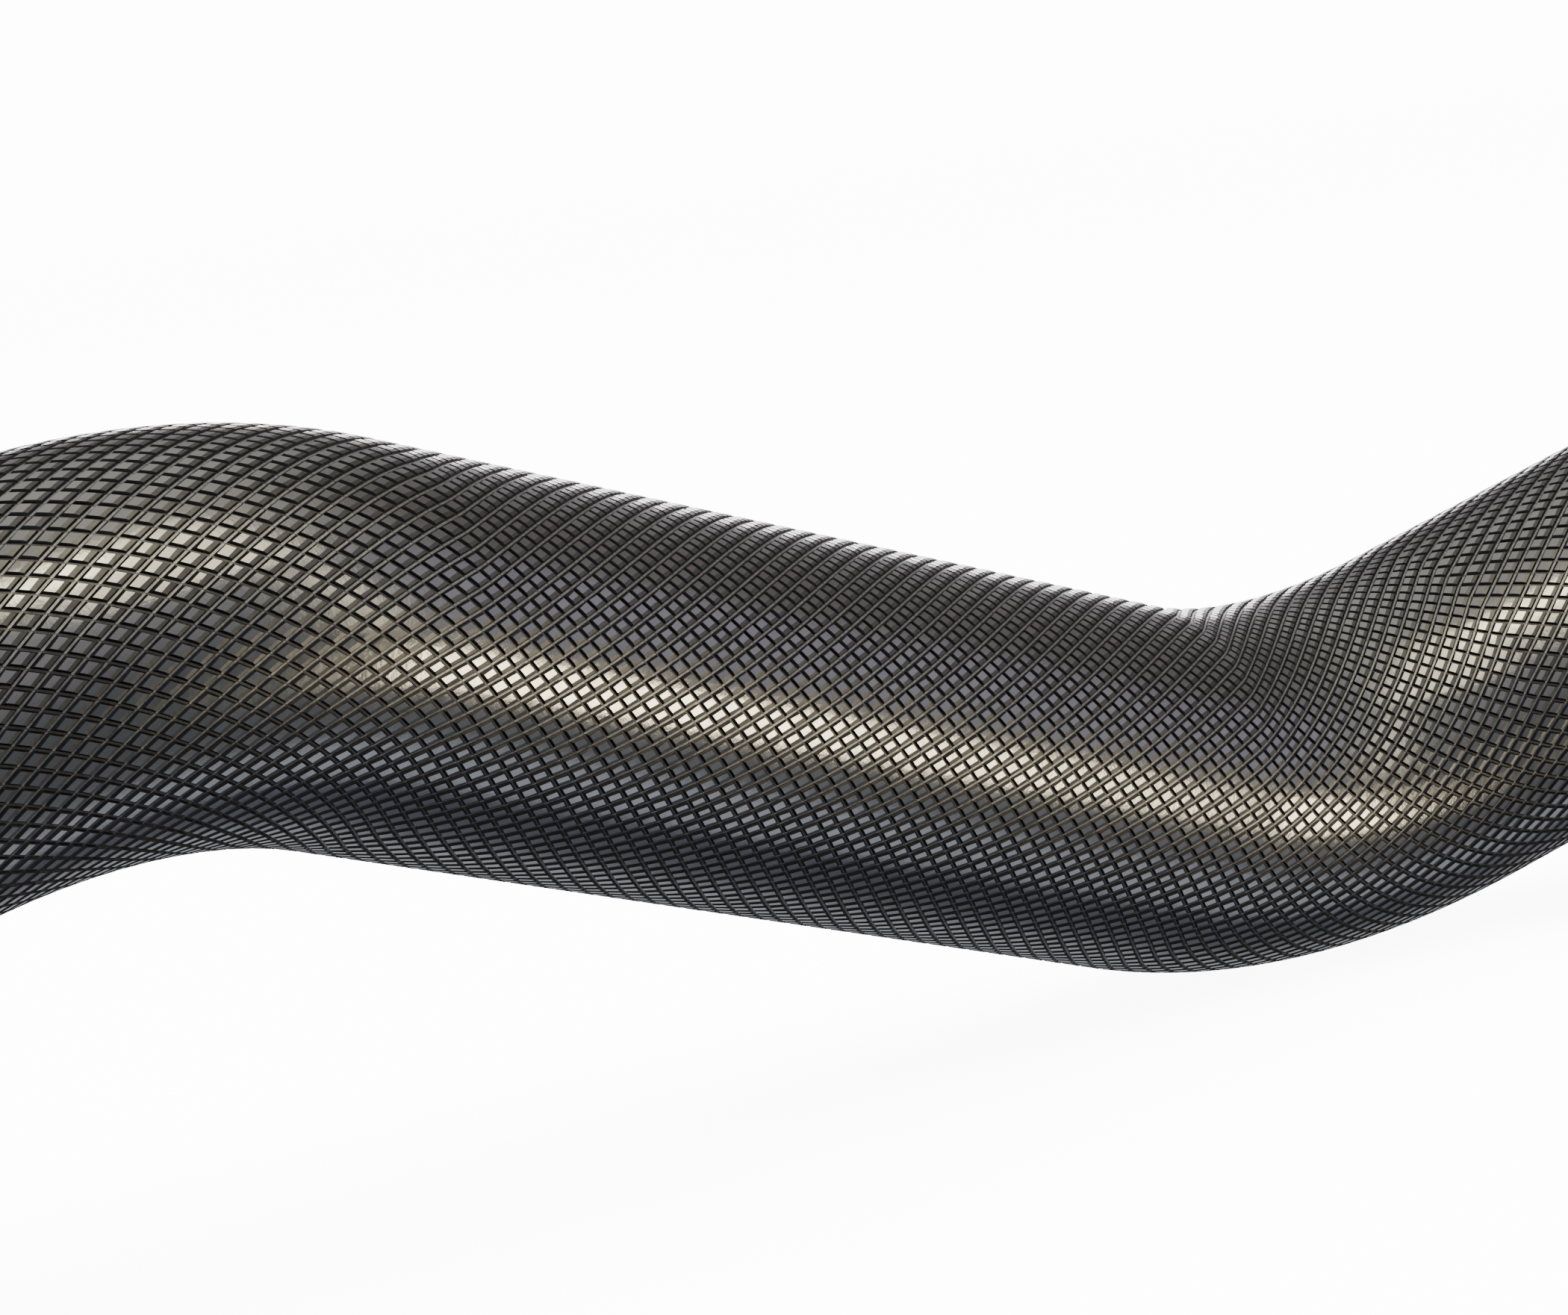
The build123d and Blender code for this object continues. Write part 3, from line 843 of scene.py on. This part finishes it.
def makeStopRing(side, hand):
    start, end, radius = measure(hand + "_stop_ring")
    bevel, edge = turned["stopBevel"], turned["bevelEdge"]
    outline = [
        (start, turned["journalRadius"], 0), (start, radius - bevel, edge),
        (start + bevel, radius, edge), (end - bevel, radius, edge),
        (end, radius - bevel, edge), (end, turned["journalRadius"], 0)]
    return spin(hand + "StopRing", outline, side, True)


def makeThrustWasher(side, hand):
    start, end, radius = measure(hand + "_thrust_washer")
    edge = turned["edge"]
    outline = [
        (start, turned["journalRadius"], 0), (start, radius, edge), (end, radius, edge),
        (end, turned["journalRadius"], 0)]
    return spin(hand + "ThrustWasher", outline, side, True)


def makeInnerBushing(side, hand):
    start, end, radius = measure(hand + "_inner_bushing")
    lip = measure(hand + "_collar")[0]
    bore = turned["journalRadius"] + turned["journalGap"]
    outline = [
        (start, bore, turned["edge"]), (start, radius, turned["edge"]),
        (lip, radius, turned["lipEdge"]), (lip, turned["boreRadius"], 0),
        (end, turned["boreRadius"], turned["edge"]), (end, bore, 0)]
    return spin(hand + "InnerBushing", outline, side, True)


def makeCollar(side, hand):
    start, end, radius = measure(hand + "_collar")
    flange, soft = end - turned["flangeThickness"], turned["softEdge"]
    rim, fillet, neck = turned["rimChamfer"], turned["neckFillet"], turned["neckRadius"]
    seat, bore = turned["seatRadius"], turned["boreChamfer"]
    outline = [
        (start, seat, 0), (start, neck - rim, soft), (start + rim, neck, soft),
        (flange, neck, fillet), (flange, radius - rim, soft), (flange + rim, radius, soft),
        (end - rim, radius, soft), (end, radius - rim, soft),
        (end, seat + bore, turned["fineEdge"]), (end - bore, seat, 0)]
    return spin(hand + "Collar", outline, side, True, segments=turned["discSegments"])


def makeSleeve(side, hand):
    start, end, radius = measure(hand + "_sleeve")
    shoulder = measure(hand + "_collar")[1]
    bore, seat, chamfer = turned["boreRadius"], turned["seatRadius"], turned["sleeveChamfer"]
    outline = [
        (start, bore, 0), (start, seat, 0), (shoulder, seat, 0),
        (shoulder, radius, turned["fineEdge"]), (end - chamfer, radius, turned["chamferEdge"]),
        (end, radius - chamfer, turned["chamferEdge"]), (end, bore, 0)]
    return spin(hand + "Sleeve", outline, side, True, segments=turned["discSegments"])


endCap = dict(
    dishRadius=0.015, dishDepth=0.0008, dishEdge=0.00018, skirtWall=0.003, rimChamfer=0.001,
    rings=5,                # turned in the dish
    ringDepth=0.00012, ringWidth=0.0004, ringEdge=0.0001,
    firstRing=0.6,          # distance of the first from the middle, in ring spacings
    outerGap=0.2,           # spare past the last, likewise
)


def makeEndCap(side, hand):
    start, end, radius = measure(hand + "_end_cap")
    sleeveEnd = measure(hand + "_sleeve")[1]
    skirt, edge = turned["boreRadius"], turned["edge"]
    dish, chamfer = endCap["dishRadius"], endCap["rimChamfer"]
    width, soft = endCap["ringWidth"], endCap["ringEdge"]
    floor = end - endCap["dishDepth"]
    outline = [
        (sleeveEnd, 0, 0), (sleeveEnd, skirt - endCap["skirtWall"], 0),
        (start, skirt - endCap["skirtWall"], 0), (start, skirt, edge), (sleeveEnd, skirt, 0),
        (sleeveEnd, radius, 0), (end - chamfer, radius, edge), (end, radius - chamfer, edge),
        (end, dish, endCap["dishEdge"]), (floor, dish, endCap["dishEdge"])]
    for ring in reversed(range(endCap["rings"])):
        at = dish * (ring + endCap["firstRing"]) / (endCap["rings"] + endCap["outerGap"])
        outline += [
            (floor, at + width, soft), (floor - endCap["ringDepth"], at, soft),
            (floor, at - width, soft)]
    outline.append((floor, 0, 0))
    return spin(hand + "EndCap", outline, side, False, segments=turned["discSegments"])


def makeTurnedPieces():
    for side, hand in ((-1, "left"), (1, "right")):
        sleeve = hand + "_sleeve"
        rows = [                # maker, body, slot and the node it takes the place of
            (makePlainEnd, "bar", "grip_steel", None),
            (makeStopRing, "bar", "turned_steel", hand + "_stop_ring"),
            (makeThrustWasher, "bar", "washer_steel", hand + "_thrust_washer"),
            (makeInnerBushing, sleeve, "bronze", hand + "_inner_bushing"),
            (makeCollar, sleeve, "chrome", hand + "_collar"),
            (makeSleeve, sleeve, "chrome", sleeve),
            (makeEndCap, sleeve, "cap_steel", hand + "_end_cap")]
        for maker, body, slot, node in rows:
            piece = maker(side, hand)
            piece.data.materials.append(finishes[slot])
            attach(piece, body)
            if node:
                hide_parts(node)
            print(piece.name, "spun")


makeTurnedPieces()
print("turned pieces made")


# floor, background and lights
studio = dict(
    floorSize=60.0,
    floorColour=(0.9, 0.9, 0.9, 1),
    floorGlow=0.7,              # share of the floor's brightness that no shadow dims
    backdrop=(1.0, 1.0, 1.0, 1),
    backdropStrength=14.0,
    room=(0.33, 0.325, 0.335, 1),
    fade=(0.9, 4.0),            # the floor melts into the backdrop between these distances
    lightDistance=4.0,
    floorLightHeight=3.0,
    floorLightSize=(5, 5),
    floorLightPower=1.9,        # makes up for the light that misses the floor
)
roomPatches = [                 # soft darker and lighter parts of the room round the bar
    dict(azimuth=180, elevation=-35, spread=52, colour=(0.07, 0.075, 0.085, 1)),
    dict(azimuth=152, elevation=62, spread=42, colour=(0.95, 0.94, 0.92, 1)),
    dict(azimuth=-140, elevation=12, spread=32, colour=(0.10, 0.10, 0.11, 1)),
    dict(azimuth=-112, elevation=-18, spread=26, colour=(0.62, 0.63, 0.66, 1)),
    dict(azimuth=4, elevation=62, spread=42, colour=(0.60, 0.58, 0.52, 1)),
    dict(azimuth=3, elevation=26, spread=24, colour=(0.205, 0.185, 0.175, 1)),
    dict(azimuth=10, elevation=-58, spread=38, colour=(0.12, 0.127, 0.155, 1)),
    dict(azimuth=-22, elevation=6, spread=20, colour=(0.40, 0.395, 0.45, 1)),
    dict(azimuth=-56, elevation=-26, spread=42, colour=(0.12, 0.133, 0.142, 1)),
    dict(azimuth=52, elevation=-28, spread=24, colour=(0.46, 0.49, 0.52, 1)),
    dict(azimuth=-12, elevation=-48, spread=14, colour=(0.52, 0.55, 0.59, 1)),
]
softboxes = dict(               # width and height in degrees, as the bar sees them
    rimLight=dict(azimuth=47, elevation=6, size=(20, 17), radiance=6.0,
                  tint=(1.0, 0.97, 0.975)),
    creamWindow=dict(azimuth=-33.0, elevation=-18.0, size=(10, 13), radiance=11.0,
                     tint=(1.0, 0.86, 0.54)),
    sideWindow=dict(azimuth=-42, elevation=9, size=(5, 26), radiance=1.7,
                    tint=(1.0, 0.93, 0.60)),
    overhead=dict(azimuth=-52, elevation=40, size=(27, 27), radiance=2.2,
                  tint=(1.0, 0.93, 0.60)),
    overheadCore=dict(azimuth=-65, elevation=49, size=(15, 12), radiance=4.5,
                      tint=(1.0, 0.93, 0.58)),
    backStrip=dict(azimuth=118, elevation=42, size=(62, 17), radiance=4.0,
                   tint=(1.0, 0.99, 0.97)),
    sideStrip=dict(azimuth=178, elevation=24, size=(24, 30), radiance=2.5,
                   tint=(0.97, 0.99, 1.0)),
)


def direction(azimuth, elevation):
    azimuth, elevation = math.radians(azimuth), math.radians(elevation)
    return Vector((math.cos(elevation) * math.cos(azimuth),
                   math.cos(elevation) * math.sin(azimuth), math.sin(elevation)))


def makeWorld(studio, patches):
    world = bpy.data.worlds.new("studio")
    world.use_nodes = True
    tree = world.node_tree
    tree.nodes.clear()
    way = addNode(tree, "ShaderNodeTexCoord").outputs["Generated"]
    colour = studio["room"]
    for patch in patches:
        towards = direction(patch["azimuth"], patch["elevation"])
        near = vectorCalc(tree, "DOT_PRODUCT", way, towards)
        fade = addNode(tree, "ShaderNodeMapRange", interpolation_type="SMOOTHSTEP")
        edge = math.cos(math.radians(patch["spread"]))
        colour = blendColour(tree, setRange(tree, fade, near, edge, 1.0), colour,
                             patch["colour"])
    room = addNode(tree, "ShaderNodeBackground")
    feed(tree, room.inputs["Color"], colour)
    backdrop = addNode(tree, "ShaderNodeBackground")
    backdrop.inputs["Color"].default_value = studio["backdrop"]
    backdrop.inputs["Strength"].default_value = studio["backdropStrength"]
    choice = addNode(tree, "ShaderNodeMixShader")
    feed(tree, choice.inputs[0], addNode(tree, "ShaderNodeLightPath").outputs["Is Camera Ray"])
    feed(tree, choice.inputs[1], room.outputs[0])
    feed(tree, choice.inputs[2], backdrop.outputs[0])
    feed(tree, addNode(tree, "ShaderNodeOutputWorld").inputs["Surface"], choice.outputs[0])
    bpy.context.scene.world = world


def makeFloor(studio):
    # pale sheet that fades into the backdrop; it keeps out of the metal's reflections
    mesh = bpy.data.meshes.new("floor")
    half = studio["floorSize"] / 2
    corners = [(-half, -half), (half, -half), (half, half), (-half, half)]
    mesh.from_pydata([(x, y, bar["floorZ"]) for x, y in corners], [], [(0, 1, 2, 3)])
    floor = bpy.data.objects.new("floor", mesh)
    bpy.context.collection.objects.link(floor)
    material, tree, shader, coordinates = newFinish("paleFloor")
    shader.inputs["Base Color"].default_value = studio["floorColour"]
    shader.inputs["Roughness"].default_value = 1.0
    shader.inputs["Specular IOR Level"].default_value = 0.0
    shader.inputs["Emission Color"].default_value = studio["backdrop"]
    shader.inputs["Emission Strength"].default_value = (
        studio["backdropStrength"] * studio["floorGlow"])
    away = vectorCalc(tree, "LENGTH", coordinates)
    fade = addNode(tree, "ShaderNodeMapRange", interpolation_type="SMOOTHSTEP")
    mix = addNode(tree, "ShaderNodeMixShader")
    feed(tree, mix.inputs[0], setRange(tree, fade, away, *studio["fade"]))
    feed(tree, mix.inputs[1], shader.outputs[0])
    feed(tree, mix.inputs[2], addNode(tree, "ShaderNodeBsdfTransparent").outputs[0])
    feed(tree, tree.nodes["Material Output"].inputs["Surface"], mix.outputs[0])
    mesh.materials.append(material)
    floor.visible_glossy = False
    floor.visible_shadow = False


def makeAreaLight(name, place, facing, size, radiance, tint):
    data = bpy.data.lights.new(name, "AREA")
    data.shape = "RECTANGLE"
    data.size, data.size_y = size
    data.energy = radiance * math.pi * size[0] * size[1]
    data.color = tint
    lamp = bpy.data.objects.new(name, data)
    turn = facing.to_track_quat("Z", "Y").to_matrix().to_4x4()
    lamp.matrix_world = Matrix.Translation(place) @ turn
    lamp.visible_camera = False
    bpy.context.collection.objects.link(lamp)
    return lamp


def makeLights(studio, softboxes):
    distance = studio["lightDistance"]
    for name, light in softboxes.items():
        way = direction(light["azimuth"], light["elevation"])
        size = [2 * distance * math.tan(math.radians(angle) / 2) for angle in light["size"]]
        makeAreaLight(name, gripMiddle + way * distance, way, size,
                      light["radiance"], light["tint"])
    # lights the floor only, so that the bar has a faint shadow under it
    share = (1 - studio["floorGlow"]) * studio["backdropStrength"] / studio["floorColour"][0]
    above = makeAreaLight(
        "floorLight", Vector((0, 0, studio["floorLightHeight"])), Vector((0, 0, 1)),
        studio["floorLightSize"], share * studio["floorLightPower"], (1, 1, 1))
    above.visible_glossy = False


makeWorld(studio, roomPatches)
makeFloor(studio)
makeLights(studio, softboxes)
print("studio lit")


# the frame's own nodes take their finishes
def dressFrame():
    slots = {entry["node"]: entry["material_slot"] for entry in frame["record"]["subparts"]}
    for name, node in frame["nodes"].items():
        node.data.materials.clear()
        node.data.materials.append(finishes[slots[name]])


dressFrame()
bpy.data.objects.remove(centreLine)
print("frame dressed")
